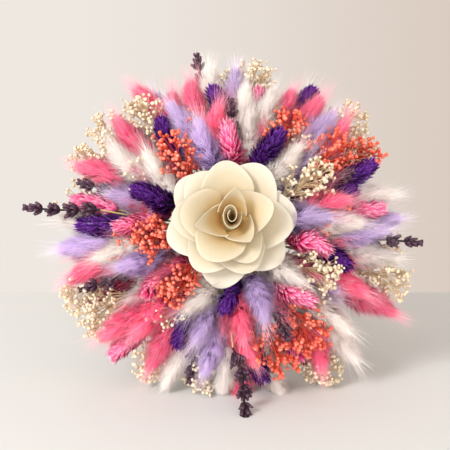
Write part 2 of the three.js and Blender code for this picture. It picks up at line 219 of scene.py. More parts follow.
class Skin:
    """Points, faces and map of one piece, put together part by part."""

    def __init__(self):
        self.points, self.faces, self.maps, self.normals, self.count = [], [], [], [], 0

    def add(self, points, faces, uv, normals=None):
        """Normals are for parts shaded as the round surface that they cover; the others keep their own."""
        points = points.reshape(-1, 3)
        self.points.append(points)
        self.normals.append(np.zeros_like(points) if normals is None else normals.reshape(-1, 3))
        self.maps.append(uv.reshape(-1, 2))
        self.faces += [f + self.count for f in (faces if isinstance(faces, list) else [faces])]
        self.count += len(points)

    def build(self, name, material):
        points = np.concatenate(self.points)
        points[:, 2] = np.maximum(points[:, 2], FLOOR_CLEARANCE * MM)
        uv = np.clip(np.concatenate(self.maps), MAP_MARGIN, 1 - MAP_MARGIN)
        corners = np.concatenate([f.ravel() for f in self.faces]).astype(np.int32)
        sizes = np.concatenate([np.full(len(f), f.shape[1]) for f in self.faces])
        starts = np.concatenate([[0], np.cumsum(sizes)[:-1]]).astype(np.int32)
        mesh = bpy.data.meshes.new(name)
        mesh.vertices.add(len(points))
        mesh.vertices.foreach_set("co", points.astype(np.float32).ravel())
        mesh.loops.add(len(corners))
        mesh.loops.foreach_set("vertex_index", corners)
        mesh.polygons.add(len(sizes))
        mesh.polygons.foreach_set("loop_start", starts)
        mesh.polygons.foreach_set("use_smooth", np.ones(len(sizes), bool))
        mesh.update(calc_edges=True)
        layer = mesh.uv_layers.new(name="OFBake")
        layer.uv.foreach_set("vector", uv[corners].astype(np.float32).ravel())
        normals = np.concatenate(self.normals)
        if normals.any():
            mesh.normals_split_custom_set_from_vertices(normals.astype(np.float32))
        mesh.materials.append(material)
        piece = bpy.data.objects.new(name, mesh)
        bpy.context.scene.collection.objects.link(piece)
        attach(piece, "root")
        return piece


def grid_faces(rows, columns, closed):
    """Quads of a grid of points, row by row, closed round its columns or not."""
    i = np.arange(rows - 1)[:, None] * columns
    j = np.arange(columns if closed else columns - 1)[None, :]
    after = (j + 1) % columns
    return np.stack([i + j, i + after, i + columns + after, i + columns + j], -1).reshape(-1, 4)


def circle(sides, n, b):
    """Directions all round a line, one row of them for each n and b."""
    a = np.linspace(0, 2 * math.pi, sides, endpoint=False)
    return np.cos(a)[None, :, None] * n[:, None] + np.sin(a)[None, :, None] * b[:, None]


def tube(skin, curve, radii, sides, v, across=(0.0, 1.0)):
    """A tube along a curve. On the map it goes across from the first share to the second."""
    share = np.linspace(0, 1, len(radii))
    p, _, n, b = curve.at(share)
    rows = p[:, None] + circle(sides, n, b) * radii[:, None, None]
    u = np.repeat(across[0] + (across[1] - across[0]) * share, sides)
    uv = np.stack([u, np.full(len(u), v)], -1)
    skin.add(rows, grid_faces(len(radii), sides, True), uv)


def stands_for(piece, node, slot):
    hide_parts(node)


# ---- Colours ----


def srgb(r, g, b):
    channel = [x / 12.92 if x <= 0.04045 else ((x + 0.055) / 1.055) ** 2.4 for x in (r, g, b)]
    return (*channel, 1.0)


def new_node(tree, kind, inputs, operation=None):
    """A node whose inputs are set to numbers or fed by the outputs of other nodes."""
    node = tree.nodes.new("ShaderNode" + kind)
    if operation:
        node.operation = operation
    for socket, value in inputs.items():
        if isinstance(value, bpy.types.NodeSocket):
            tree.links.new(value, node.inputs[socket])
        else:
            node.inputs[socket].default_value = value
    return node


def colour_ramp(tree, stops, place, interpolation="EASE"):
    node = new_node(tree, "ValToRGB", {"Fac": place})
    node.color_ramp.interpolation = interpolation
    elements = node.color_ramp.elements
    while len(elements) < len(stops):
        elements.new(0.5)
    for element, (position, colour) in zip(elements, stops, strict=True):
        element.position = position
        element.color = srgb(*colour)
    return node.outputs["Color"]


def grains(tree, uv, depth, size):
    """A factor near one that varies in grains, as many across and up the map as size says."""
    stretched = new_node(tree, "VectorMath", {0: uv, 1: (*size, 1)}, "MULTIPLY").outputs["Vector"]
    noise = new_node(tree, "TexNoise", {"Vector": stretched, "Scale": 1, "Detail": 4}).outputs["Fac"]
    return new_node(tree, "MapRange", {"Value": noise, "To Min": 1 - depth, "To Max": 1 + depth}).outputs["Result"]


LIGHTER = 0.6  # how much lighter the lightest part is, as a share of how much darker the darkest one is


def ramp_material(
    name, ramp, spread=0.25, roughness=0.75, sheen=0.0, specular=0.3, grain=0.0, glow=0.0, grain_size=(60, 60)
):
    """Colour from root to tip along the map, lighter or darker up it, with a fine grain and light coming through."""
    material = bpy.data.materials.new(name)
    material.use_nodes = True
    tree = material.node_tree
    shader = tree.nodes["Principled BSDF"]
    shader.inputs["Roughness"].default_value = roughness
    shader.inputs["Specular IOR Level"].default_value = specular
    shader.inputs["Sheen Weight"].default_value = sheen
    shader.inputs["Sheen Roughness"].default_value = 0.5
    uv_node = tree.nodes.new("ShaderNodeUVMap")
    uv_node.uv_map = "OFBake"
    uv = uv_node.outputs["UV"]
    split = new_node(tree, "SeparateXYZ", {"Vector": uv})
    colours = colour_ramp(tree, ramp, split.outputs["X"])
    shades = {"Value": split.outputs["Y"], "To Min": 1 - spread, "To Max": 1 + spread * LIGHTER}
    value = new_node(tree, "MapRange", shades).outputs["Result"]
    if grain:
        factor = grains(tree, uv, grain, grain_size)
        value = new_node(tree, "Math", {0: value, 1: factor}, "MULTIPLY").outputs["Value"]
    colour = new_node(tree, "VectorMath", {0: colours, "Scale": value}, "SCALE").outputs["Vector"]
    tree.links.new(colour, shader.inputs["Base Color"])
    if glow:
        through = new_node(tree, "BsdfTranslucent", {"Color": colour}).outputs["BSDF"]
        mix = new_node(tree, "MixShader", {"Fac": glow, 1: shader.outputs["BSDF"], 2: through})
        tree.links.new(mix.outputs["Shader"], tree.nodes["Material Output"].inputs["Surface"])
    return material


# The bunny tails', canary grasses' and broom blooms' ramps start much darker than the rest: painted shade deep in the
# bunch. The cores, the hairs' roots, the glumes' feet and the twigs take that darker start.
MATERIALS = {
    "pink_bunny_tail": ramp_material(
        "pink bunny tail",
        [(0, (0.52, 0.01, 0.13)), (0.25, (0.96, 0.19, 0.41)), (0.65, (0.99, 0.45, 0.62)), (1, (1.0, 0.71, 0.78))],
        spread=0.42,
        glow=0.3,
        sheen=0.2,
    ),
    "lilac_bunny_tail": ramp_material(
        "lilac bunny tail",
        [(0, (0.34, 0.22, 0.44)), (0.25, (0.69, 0.55, 0.80)), (0.65, (0.82, 0.72, 0.89)), (1, (0.94, 0.89, 0.97))],
        spread=0.35,
        glow=0.3,
        sheen=0.2,
    ),
    "white_bunny_tail": ramp_material(
        "white bunny tail",
        [(0, (0.58, 0.47, 0.45)), (0.25, (0.91, 0.86, 0.83)), (0.65, (0.96, 0.93, 0.91)), (1, (0.99, 0.97, 0.96))],
        spread=0.25,
        glow=0.3,
        sheen=0.2,
    ),
    "pink_canary_grass": ramp_material(
        "pink canary grass",
        [(0, (0.62, 0.02, 0.24)), (0.35, (0.98, 0.27, 0.54)), (0.7, (1.0, 0.50, 0.70)), (1, (1.0, 0.86, 0.90))],
        glow=0.2,
    ),
    "purple_canary_grass": ramp_material(
        "purple canary grass",
        [(0, (0.05, 0.00, 0.08)), (0.4, (0.20, 0.01, 0.33)), (0.75, (0.31, 0.05, 0.47)), (1, (0.53, 0.28, 0.69))],
        glow=0.15,
    ),
    "dark_lavender": ramp_material(
        "dark lavender",
        [(0, (0.17, 0.11, 0.12)), (0.4, (0.19, 0.11, 0.16)), (0.8, (0.25, 0.15, 0.22)), (1, (0.40, 0.29, 0.35))],
        spread=0.35,
        roughness=0.6,
    ),
    "coral_broom_bloom": ramp_material(
        "coral broom bloom",
        [(0, (0.70, 0.17, 0.11)), (0.45, (0.95, 0.37, 0.28)), (0.8, (1.0, 0.50, 0.41)), (1, (1.0, 0.70, 0.62))],
        spread=0.25,
        specular=0.08,
        glow=0.2,
    ),
    "cream_broom_bloom": ramp_material(
        "cream broom bloom",
        [(0, (0.74, 0.60, 0.40)), (0.45, (0.96, 0.87, 0.72)), (0.8, (0.99, 0.94, 0.84)), (1, (1.0, 0.98, 0.92))],
        spread=0.2,
        specular=0.08,
        glow=0.25,
    ),
    "dried_stem": ramp_material(
        "dried stem",
        [(0, (0.86, 0.79, 0.60)), (0.04, (0.70, 0.64, 0.42)), (0.6, (0.66, 0.61, 0.38)), (1, (0.74, 0.66, 0.44))],
        spread=0.3,
        grain=0.25,
    ),
    # the darker, warmer start of this ramp is painted shade in the rose's depth: on the petals' feet, the inner
    # petals and down in the heart
    "rose_wood": ramp_material(
        "shaved wood",
        [(0, (0.74, 0.52, 0.22)), (0.3, (0.83, 0.71, 0.49)), (0.65, (0.855, 0.805, 0.69)), (1, (0.89, 0.865, 0.81))],
        spread=0.02,
        roughness=0.65,
        grain=0.07,
        grain_size=(7, 70),
        glow=0.24,
    ),
    "twine": ramp_material(
        "jute twine",
        [(0, (0.52, 0.40, 0.25)), (0.5, (0.72, 0.58, 0.38)), (1, (0.84, 0.71, 0.50))],
        spread=0.25,
        grain=0.3,
        grain_size=(9, 260),
    ),
}

# ---- Bunny tails ----
FUR = {"tufts": 440, "hairs_per_tuft": 10, "length": 9.2, "width": 0.1, "core": 5.6}
AWNS = {"count": 300, "length": 2.3, "width": 0.5}  # length and width as shares of the fur's
FUR_PLACES = [0, 0.25, 0.7, 1]  # shares of the head's length, which the next two go by
FUR_LIFT = [60, 40, 22, 8]  # degrees between a hair and its head
FUR_SIZE = [1.0, 1.05, 0.9, 0.75]  # share of the hair's length
AWN_LIFT = [56, 16]  # degrees, at the foot and at the tip
TIP_SPREAD = 1.1  # of the hairs of one tuft round its point
LEAST_KEPT = 0.05  # share of a hair that is kept at least


def core_radius(share):
    return np.interp(share, [0, 0.06, 0.26, 0.5, 0.8, 1], [0.25, 0.8, 1, 0.85, 0.42, 0.08])


PROUD = 7.5 * MM  # how far soft hairs and twigs may stand out of the solid flowers' box
SOFT_LOW = np.array(cad_low) - (PROUD, PROUD, 0)
SOFT_HIGH = np.array(cad_high) + PROUD


def tapered_hairs(skin, root, middle, tip, out, width, u, v, normals):
    """Narrow blades of two triangles each, kept short where they would pass the soft box."""
    count = len(root)
    way = tip - root
    room = np.where(way > 0, SOFT_HIGH - root, root - SOFT_LOW)
    kept = np.clip((room / np.maximum(np.abs(way), 1e-9)).min(-1), LEAST_KEPT, 1)[:, None]
    tip = root + way * kept
    middle = root + (middle - root) * kept
    across = unit(np.cross(tip - root, out)) * width * MM
    points = np.stack([root, middle - across, middle + across, tip], 1)
    first = np.arange(count)[:, None] * 4
    faces = [first + np.array([0, 2, 1]), first + np.array([1, 2, 3])]
    skin.add(points, faces, np.stack([np.tile(u, count), np.repeat(v, 4)], -1), np.repeat(normals, 4, axis=0))


def fur(skin, head, tufts, length, variation):
    """Fine hairs in small tufts, each tuft drawn together towards a point of its own."""
    per_tuft = FUR["hairs_per_tuft"]
    share = rng.random(tufts) ** 0.85 * 0.97
    turn = rng.random(tufts) * 2 * math.pi
    p, t, n, b = head.at(share)
    out = np.cos(turn)[:, None] * n + np.sin(turn)[:, None] * b
    angle = np.radians(np.interp(share, FUR_PLACES, FUR_LIFT) * (0.75 + 0.5 * rng.random(tufts)))[:, None]
    way = unit(np.cos(angle) * t + np.sin(angle) * out + np.cross(t, out) * rng.normal(0, 0.1, tufts)[:, None])
    size = (length * np.interp(share, FUR_PLACES, FUR_SIZE) * (0.85 + 0.3 * rng.random(tufts)) * MM)[:, None]
    tuft_tip = p + out * (core_radius(share) * FUR["core"] * MM)[:, None] + way * size
    facing = unit(out + t * 0.15 + rng.normal(0, 0.13, (tufts, 3)))
    light = variation + rng.normal(0, 0.1, tufts)

    count = tufts * per_tuft
    hair_share = np.clip(np.repeat(share, per_tuft) + rng.normal(0, 0.03, count), 0, 0.98)
    hair_turn = np.repeat(turn, per_tuft) + rng.normal(0, 0.3, count)
    p, t, n, b = head.at(hair_share)
    out = np.cos(hair_turn)[:, None] * n + np.sin(hair_turn)[:, None] * b
    root = p + out * (core_radius(hair_share) * FUR["core"] * 0.9 * MM)[:, None]
    tip = np.repeat(tuft_tip, per_tuft, axis=0)
    tip = tip + rng.normal(0, TIP_SPREAD, (count, 3)) * MM + (tip - root) * rng.uniform(-0.35, 0.2, count)[:, None]
    middle = root * 0.6 + tip * 0.4 + out * rng.uniform(0.2, 1.1, count)[:, None] * MM
    facing = unit(np.repeat(facing, per_tuft, axis=0) + out * 0.3 + rng.normal(0, 0.1, (count, 3)))
    v = np.clip(np.repeat(light, per_tuft) + rng.normal(0, 0.16, count), 0, 1)
    # the hairs' roots take the dark start of the ramp: painted shade deep in the fur
    u = np.array([0.0, 0.42, 0.42, 1.0])
    tapered_hairs(skin, root, middle, tip, out, FUR["width"], u, v, facing)


def awns(skin, head, count, length):
    """The long pale hairs that stand out of the fur, mostly towards the tip."""
    share = rng.random(count) ** 0.7
    turn = rng.random(count) * 2 * math.pi
    p, t, n, b = head.at(share)
    out = np.cos(turn)[:, None] * n + np.sin(turn)[:, None] * b
    angle = np.radians(np.interp(share, [0, 1], AWN_LIFT) * (0.5 + 0.9 * rng.random(count)))[:, None]
    way = unit(np.cos(angle) * t + np.sin(angle) * out + rng.normal(0, 0.1, (count, 3)))
    size = (length * (0.6 + 0.6 * rng.random(count)) * MM)[:, None]
    middle = p + way * size * 0.5
    tip = middle + unit(way + t * 0.25 + rng.normal(0, 0.16, (count, 3))) * size * 0.5
    v = np.full(count, 0.95)
    u = np.array([0.6, 0.9, 0.9, 1.0])
    facing = unit(out + rng.normal(0, 0.3, (count, 3)))
    tapered_hairs(skin, p, middle, tip, out, FUR["width"] * AWNS["width"], u, v, facing)


def bunny_tail(skin, head, density=1.0, shades=(0.45, 1.0)):
    """A soft head: a slim core, fur in tufts, and awns. The density is that of the hairs."""
    # shades is the range of the head's tone: random from head to head, and low for the deep small flowers as painted
    # shade
    variation = rng.uniform(*shades)
    length = FUR["length"] * rng.uniform(0.88, 1.12)
    share = np.linspace(0, 1, 14)
    # the core takes the darkest start of the ramp: painted shade under the fur
    tube(skin, head, core_radius(share) * FUR["core"] * MM, 12, variation, (0.0, 0.1))
    fur(skin, head, int(FUR["tufts"] * density), length, variation)
    awns(skin, head, int(AWNS["count"] * density), length * AWNS["length"])


# ---- Canary grass ----
GOLDEN = math.pi * (3 - math.sqrt(5))
SCALES = {"count": 330, "length": 7.2, "width": 1.1, "core": 4.9, "beside_rose": 0.45}
SCALE_PROFILE = ([0, 0.1, 0.38, 0.75, 1], [0.45, 0.85, 1, 0.72, 0.2])  # the head's radius along it
SCALE_LIFT = ([0, 0.3, 1], [50, 36, 15])  # degrees between a glume and its head, along it
SCALE_ALONG = np.array([0, 0.2, 0.45, 0.72, 0.9, 1.0])
SCALE_WIDE = np.array([0.4, 0.92, 1.0, 0.6, 0.22, 0.02])  # share of its half width at each of those
SCALE_FOLD = 0.8  # how far its edges lie below its keel, as a share of its half width


def canary_grass(skin, head):
    """Keeled, pointed glumes in a spiral round the head, each a small folded blade."""
    variation = rng.random() * 0.5 + 0.2
    count = SCALES["count"]
    share = np.linspace(0.0, 0.93, count)
    turn = np.arange(count) * GOLDEN + rng.normal(0, 0.12, count)
    profile = np.interp(share, *SCALE_PROFILE)
    p, t, n, b = head.at(share)
    out = np.cos(turn)[:, None] * n + np.sin(turn)[:, None] * b
    tangent = np.cross(t, out)
    core = np.interp(np.linspace(0, 1, 10), *SCALE_PROFILE) * SCALES["core"] * 0.85
    # the core takes the dark start of the ramp: painted shade under the glumes
    tube(skin, head, core * MM, 10, 0.1, (0, 0.05))
    angle = np.radians(np.interp(share, *SCALE_LIFT) + rng.normal(0, 6, count))[:, None]
    way = unit(np.cos(angle) * t + np.sin(angle) * out + tangent * rng.normal(0, 0.1, count)[:, None])
    normal = unit(np.cross(tangent, way))
    normal *= np.sign((normal * out).sum(-1, keepdims=True))
    size = SCALES["length"] * (0.8 + 0.35 * rng.random(count))[:, None] * MM
    root = p + out * (profile * SCALES["core"] * 0.7 * MM)[:, None]
    beside_rose = np.linalg.norm(root - ROSE_MIDDLE, axis=1) < ROSE_CLEAR * MM
    size[beside_rose] *= SCALES["beside_rose"]  # so that none comes through a petal
    points, u = [], []
    for a, w in zip(SCALE_ALONG, SCALE_WIDE * SCALES["width"] * MM, strict=True):
        keel = root + way * size * a + normal * size * (0.13 * math.sin(a * math.pi) + 0.05 * a)
        fold = normal * w * SCALE_FOLD
        points += [keel - tangent * w - fold, keel, keel + tangent * w - fold]
        u += [a, a * 0.85 + 0.15, a]
    each = len(points)
    faces = (np.arange(count)[:, None, None] * each + grid_faces(len(SCALE_ALONG), 3, False)).reshape(-1, 4)
    v = np.clip(variation + rng.normal(0, 0.22, count), 0, 1)
    facing = np.repeat(unit(out + normal * 0.5 + rng.normal(0, 0.3, (count, 3))), each, axis=0)
    skin.add(np.stack(points, 1), faces, np.stack([np.tile(u, count), np.repeat(v, each)], -1), facing)


# ---- Lavender ----
CALYX = {"length": 6.2, "radius": 1.15, "per_ring": 7, "sides": 10, "steps": 6}
CALYX_PROFILE = np.array([0.35, 0.85, 1.0, 0.92, 0.8, 0.66])
CALYX_MAP = [0.3, 0.45, 0.6, 0.75, 0.9, 1.0, 0.0]  # from the foot to the mouth, and darkest inside the mouth as painted shade
WHORLS = 4
TIERS = 2  # rings of florets in a whorl
END_FLORETS = 5


def lavender(skin, head):
    """Whorls of florets on a thin stem, and a few more at its tip."""
    steps = np.linspace(0, 1, CALYX["steps"])
    for whorl in range(WHORLS):
        last = whorl == WHORLS - 1
        for tier in range(TIERS):
            share = (whorl + 0.28 + 0.26 * tier) / WHORLS
            for k in range(CALYX["per_ring"] - last):
                turn = 2 * math.pi * (k + 0.5 * tier + rng.normal(0, 0.15)) / CALYX["per_ring"]
                p, t, n, b = head.at(share + rng.normal(0, 0.012))
                out = math.cos(turn) * n + math.sin(turn) * b
                lift = math.radians(rng.uniform(28, 58) * (0.62 if last and tier else 1))
                way = math.cos(lift) * t + math.sin(lift) * out
                size = CALYX["length"] * rng.uniform(0.8, 1.15) * (0.95 - 0.06 * whorl) * MM
                start = p + out * 0.5 * MM
                line = np.array([start + way * size * a + t * size * 0.08 * a * a for a in steps])
                floret(skin, line, CALYX["radius"] * rng.uniform(0.85, 1.15) * MM)
    p, t, n, b = head.at(0.95)
    for k in range(END_FLORETS):
        out = math.cos(k * 1.3) * n + math.sin(k * 1.3) * b
        floret(skin, np.array([p + (t + out * 0.35 * a) * 5 * MM * a for a in steps]), 0.9 * MM)
    tube(skin, head, np.full(12, 0.75 * MM), 6, 0.3, (0, 0.2))


def floret(skin, line, radius):
    """A ribbed calyx with an open, toothed mouth."""
    sides = CALYX["sides"]
    curve = Curve(line, CALYX["steps"])
    ribs = 1 + 0.16 * np.cos(np.arange(sides) * math.pi)
    p, _, n, b = curve.at(np.linspace(0, 1, CALYX["steps"]))
    offset = circle(sides, n, b)
    rows = p[:, None] + offset * (CALYX_PROFILE[:, None] * ribs * radius)[..., None]
    rows[-1] += curve.along[-1] * (np.arange(sides) % 2)[:, None] * radius * 0.7
    inside = p[-1] - curve.along[-1] * radius * 0.6 + offset[-1] * radius * 0.3
    rows = np.concatenate([rows, inside[None]])
    u = np.repeat(CALYX_MAP, sides)
    v = np.full(len(u), rng.random())
    skin.add(rows, grid_faces(len(rows), sides, True), np.stack([u, v], -1))


# ---- Broom bloom ----


def bead():
    """Points and faces of a small ball of radius one."""
    bpy.ops.mesh.primitive_ico_sphere_add(subdivisions=2, radius=1)
    made = bpy.context.object
    points = np.array([v.co for v in made.data.vertices])
    faces = np.array([p.vertices for p in made.data.polygons])
    bpy.data.objects.remove(made)
    return points, faces


BEAD_POINTS, BEAD_FACES = bead()
BEAD_LOBES = 5  # of an open floret
BROOM = {"spread": 15.5, "twig": 0.19, "clusters": 30}
BROOM_PROFILE = ([0.3, 0.6, 0.85, 1.12], [0.45, 0.95, 1.0, 0.45])  # how wide it spreads along its length
BROOM_EDGE = 5 * MM  # the clusters keep this far inside the soft box


def broom_bud(skin, middle, radius, axis, open_floret):
    """A bead, or a five-lobed floret, that faces along the axis."""
    lumps = 1 + rng.normal(0, 0.08, len(BEAD_POINTS))[:, None]
    shape = BEAD_POINTS
    if open_floret:
        around = np.arctan2(shape[:, 1], shape[:, 0])
        shape = shape * (1 + 0.34 * np.sin(BEAD_LOBES * around) * (1 - shape[:, 2] ** 2))[:, None]
    side = unit(np.cross(axis, (0.3, 0.5, 0.8)))
    third = np.cross(axis, side)
    local = shape * lumps * radius * rng.uniform(0.65, 1.25) * MM
    points = middle + local[:, :1] * side + local[:, 1:2] * third + local[:, 2:] * axis
    # lighter on the side facing out of the spray, darker towards its twig: painted shade inside the cluster
    up = 0.5 + 0.5 * shape[:, 2] / np.abs(shape).max()
    v = np.full(len(shape), rng.random())
    skin.add(points, BEAD_FACES, np.stack([0.4 + 0.55 * up, v], -1))


def broom_bloom(skin, head, buds, size, open_florets):
    """Fine forking twigs that end in loose clusters of beads."""
    length = head.length
    # the stem, twigs and bud stems take the darker part of the ramp: painted shade inside the spray
    tube(skin, head, np.linspace(0.7, 0.2, 12) * MM, 5, 0.4, (0, 0.2))
    clusters = BROOM["clusters"]
    twig_radii = np.linspace(1.5, 1, 6) * BROOM["twig"] * MM
    bud_stem_radii = np.full(3, BROOM["twig"] * 0.8 * MM)
    for c in range(clusters):
        reach = 0.28 + 0.84 * ((c + rng.random()) / clusters) ** 0.8
        width = np.interp(reach, *BROOM_PROFILE) * BROOM["spread"] * MM
        turn = c * GOLDEN + rng.normal(0, 0.3)
        out_by = width * math.sqrt(rng.uniform(0.12, 1.0))
        p, t, n, b = head.at(min(reach, 1.0))
        out = math.cos(turn) * n + math.sin(turn) * b
        middle = p + out * out_by + t * max(reach - 1, 0) * length
        middle = np.clip(middle, SOFT_LOW + BROOM_EDGE, SOFT_HIGH - BROOM_EDGE)
        start, ahead, _, _ = head.at(max(reach - 0.18 - 0.3 * out_by / width, 0.0))
        fork = start * 0.35 + middle * 0.65 - out * out_by * 0.12 + ahead * length * 0.015
        tube(skin, Curve(np.array([start, fork, middle]), 6), twig_radii, 4, rng.random(), (0.2, 0.45))
        for _ in range(int(buds / clusters * rng.uniform(0.6, 1.4))):
            bud = middle + (unit(rng.normal(0, 1, 3)) * rng.uniform(0.5, 4.2) + t * 1.5 * rng.random()) * MM
            away = bud - ROSE_MIDDLE
            bud = ROSE_MIDDLE + unit(away) * max(np.linalg.norm(away), ROSE_CLEAR * MM)
            bud_stem = Curve(np.array([fork, fork * 0.4 + bud * 0.6 - ahead * 0.5 * MM, bud]), 4)
            tube(skin, bud_stem, bud_stem_radii, 3, rng.random(), (0.3, 0.5))
            broom_bud(skin, bud, size, unit(bud - fork), open_florets)


# ---- Sprays ----
HEAD_STEPS = 32
BUDS = {"coral_broom_bloom": (210, 1.16, False), "cream_broom_bloom": (200, 1.05, True)}  # count, radius, open


def grow_head(skin, colour, head):
    kind = KINDS[colour]
    if kind == "bunny_tail":
        bunny_tail(skin, head)
    elif kind == "canary_grass":
        canary_grass(skin, head)
    elif kind == "lavender":
        lavender(skin, head)
    else:
        broom_bloom(skin, head, *BUDS[colour])


STALK = 0.55  # radius of one flower's stalk, in millimetres
STALK_OFFSET = 0.55  # from the middle of the stem that a spray shares, in millimetres
STALK_TURN = 2.5  # radians by which the stalks turn round each other below the twine
STALK_STEPS = 56
STALK_SIDES = 6
CUT_LENGTHS = (-3.0, 0.4)  # how unevenly the stalks are cut, in millimetres


def stalks(skin, flowers, shared):
    """A stalk for each flower: wired together below, from the cut end, and on its own from the twine up."""
    _, _, n, b = Curve(shared, 3).at(0.5)
    radii = np.interp(np.linspace(0, 1, STALK_STEPS), [0, 0.5, 1], [1.15, 1.0, 0.95]) * STALK * MM

    def beside(middle, turn):
        return middle + (math.cos(turn) * n + math.sin(turn) * b) * STALK_OFFSET * MM

    for k, flower in enumerate(flowers):
        turn = 2 * math.pi * k / len(flowers)
        lower = []
        for share in np.linspace(0, 1, 9):
            lower.append(beside(shared[1] * (1 - share) + shared[2] * share, turn + share * STALK_TURN))
        lower[0] = lower[0] + shared[0] - shared[1] + unit(shared[1] - shared[2]) * rng.uniform(*CUT_LENGTHS) * MM
        foot = beside(shared[3], turn + STALK_TURN)
        curve = Curve(np.concatenate([lower, [foot], flower["stem"]]), STALK_STEPS)
        tube(skin, curve, radii, STALK_SIDES, rng.random(), (0.02, 1.0))
        end, _, side, third = curve.at(0.0)
        cut = end + circle(STALK_SIDES, side[None], third[None])[0] * radii[0]
        fan = np.array([[STALK_SIDES, (i + 1) % STALK_SIDES, i] for i in range(STALK_SIDES)])
        skin.add(np.concatenate([cut, [end]]), fan, np.full((STALK_SIDES + 1, 2), MAP_MARGIN))


for node in sorted(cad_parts):
    colour = node.rsplit("_", 1)[0]
    if colour not in KINDS:
        continue
    flowers, shared = read_flowers(node, KINDS[colour])
    heads, stems = Skin(), Skin()
    for flower in flowers:
        grow_head(heads, colour, Curve(flower["head"], HEAD_STEPS))
    stalks(stems, flowers, shared)
    stands_for(heads.build(node + "_heads", MATERIALS[colour]), node, colour)
    stands_for(stems.build(node + "_stems", MATERIALS["dried_stem"]), node, "dried_stem")

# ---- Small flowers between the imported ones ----
SMALL_TAILS = 40
SMALL_TAILS_BY_THE_ROSE = 22
SMALL_BLOOMS = 16
SMALL_BUDS = (90, 1.0)  # count and radius
SMALL_STEPS = 16
DEEP_PAINTED_SHADE = (0.0, 0.3)  # the small flowers lie deeper in the bunch, and the small bunny tails are darkened as painted shade
SMALL_COLOURS = ["white_bunny_tail", "pink_bunny_tail", "lilac_bunny_tail", "pink_bunny_tail"]
small_heads = {}
small_stalks = Skin()


def small_flower(colour, clock, reach, height, lean, length, density=0.55):
    """A flower at a clock angle round the axis, with its tip at a reach from the axis and a height over the twine."""
    clock, lean = math.radians(clock), math.radians(lean)
    way = np.array([math.cos(clock) * math.sin(lean), math.sin(clock) * math.sin(lean), math.cos(lean)])
    tip = np.array([math.cos(clock) * reach, math.sin(clock) * reach, height])
    base = tip - way * length
    foot = np.array([math.cos(clock) * 6, math.sin(clock) * 6, 12.0])
    stem = np.array([foot, foot + (0, 0, 14), (foot + base) / 2 + (0, 0, 2), base])
    head = Curve(placed(np.array([base + way * length * share for share in np.linspace(0, 1, 5)])), HEAD_STEPS)
    skin = small_heads.setdefault(colour, Skin())
    if KINDS[colour] == "bunny_tail":
        bunny_tail(skin, head, density, DEEP_PAINTED_SHADE)
    else:
        broom_bloom(skin, head, *SMALL_BUDS, BUDS[colour][-1])
    stalk = Curve(placed(stem), SMALL_STEPS)
    tube(small_stalks, stalk, np.full(SMALL_STEPS, STALK * MM), STALK_SIDES, rng.random())


for i in range(SMALL_TAILS):
    outer = i % 2
    clock = 360 * i / SMALL_TAILS + rng.uniform(-3, 3)
    height = (54, 36)[outer] + rng.uniform(-4, 4)
    colour = SMALL_COLOURS[int(rng.integers(4))]
    small_flower(colour, clock, (76, 97)[outer], height, (66, 84)[outer], 30)
for i in range(SMALL_TAILS_BY_THE_ROSE):
    outer = i % 2
    clock = 360 * (i + 0.3) / SMALL_TAILS_BY_THE_ROSE + rng.uniform(-4, 4)
    colour = "lilac_bunny_tail" if i % 5 == 2 else "pink_bunny_tail"
    small_flower(colour, clock, 61 + 5 * outer, 68 - 4 * outer, 56, 27, density=0.5)
for i in range(SMALL_BLOOMS):
    clock = 360 * (i + 0.5) / SMALL_BLOOMS + rng.uniform(-6, 6)
    colour = "cream_broom_bloom" if i % 4 else "coral_broom_bloom"
    reach, height, lean = (104, 40, 84) if i % 2 else (70, 66, 60)
    small_flower(colour, clock, reach, height, lean, 38)
small_flower("pink_bunny_tail", 217, 52, 71, 50, 27)  # where stems would show beside the rose
for colour, skin in small_heads.items():
    skin.build("small_" + colour, MATERIALS[colour])
small_stalks.build("small_flower_stems", MATERIALS["dried_stem"])

# ---- Rose ----
ROSE_SEAT = 79  # height of the lowest layer's feet over the twine
SEAT_STEP = 1.4  # from one layer to the next
SEAT_TAPER = 0.55
SEAT_RADIUS = 10.2
LEAST_RADIUS = 5.5  # petals wrap round the axis as if they were at least this far from it
PETAL_THICKNESS = 0.55
PETAL_ROWS = 25
PETAL_COLUMNS = 27
RIM = 0.62  # share of a petal's length from where it rolls over
ROUND = 0.3  # how pointed most petals are
# name: clock angle, layer, length, half width, angle from the axis at the foot, curl outwards, roll of the rim,
# and how pointed it is, where that isn't ROUND
PETALS = {
    "right_outer": (8, 0, 30, 20, 80, 10, 14),
    "top_right_outer": (58, 1, 30, 21, 77, 9, 10),
    "top_left_outer": (143, 0, 30, 20, 80, 10, 16),
    "left_outer": (196, 1, 30, 20, 78, 9, 14),
    "bottom_outer": (259, 0, 30, 20, 80, 10, 12),
    "bottom_right_outer": (318, 1, 30, 19, 78, 10, 16),
    "right_second": (355, 2, 28, 19, 71, 10, 18),
    "top_left_second": (131, 2, 28, 18, 72, 10, 12),
    "top_second": (97, 3, 28, 19, 69, 9, 20),
    "bottom_left_second": (236, 3, 28, 19, 70, 10, 14),
    "left_second": (177, 4, 28, 18, 66, 10, 16),
    "bottom_right_second": (286, 4, 27, 18, 67, 11, 18),
    "left_third": (170, 5, 26, 19, 54, 12, 16),
    "bottom_right_third": (294, 5, 23, 16, 55, 12, 22),
    "bottom_third": (244, 6, 26, 19, 49, 15, 20),
    "right_third": (18, 6, 24, 18, 44, 6, 14, 0.42),
    "bottom_right_inner": (306, 7, 24, 14, 29, 8, 10, 0.66),
    "left_inner": (196, 8, 24, 13.5, 34, 10, 8, 0.7),
    "top_inner": (80, 9, 23, 12.5, 23, 10, 6, 0.7),
}


LAST_LAYER = max(shape[1] for shape in PETALS.values())


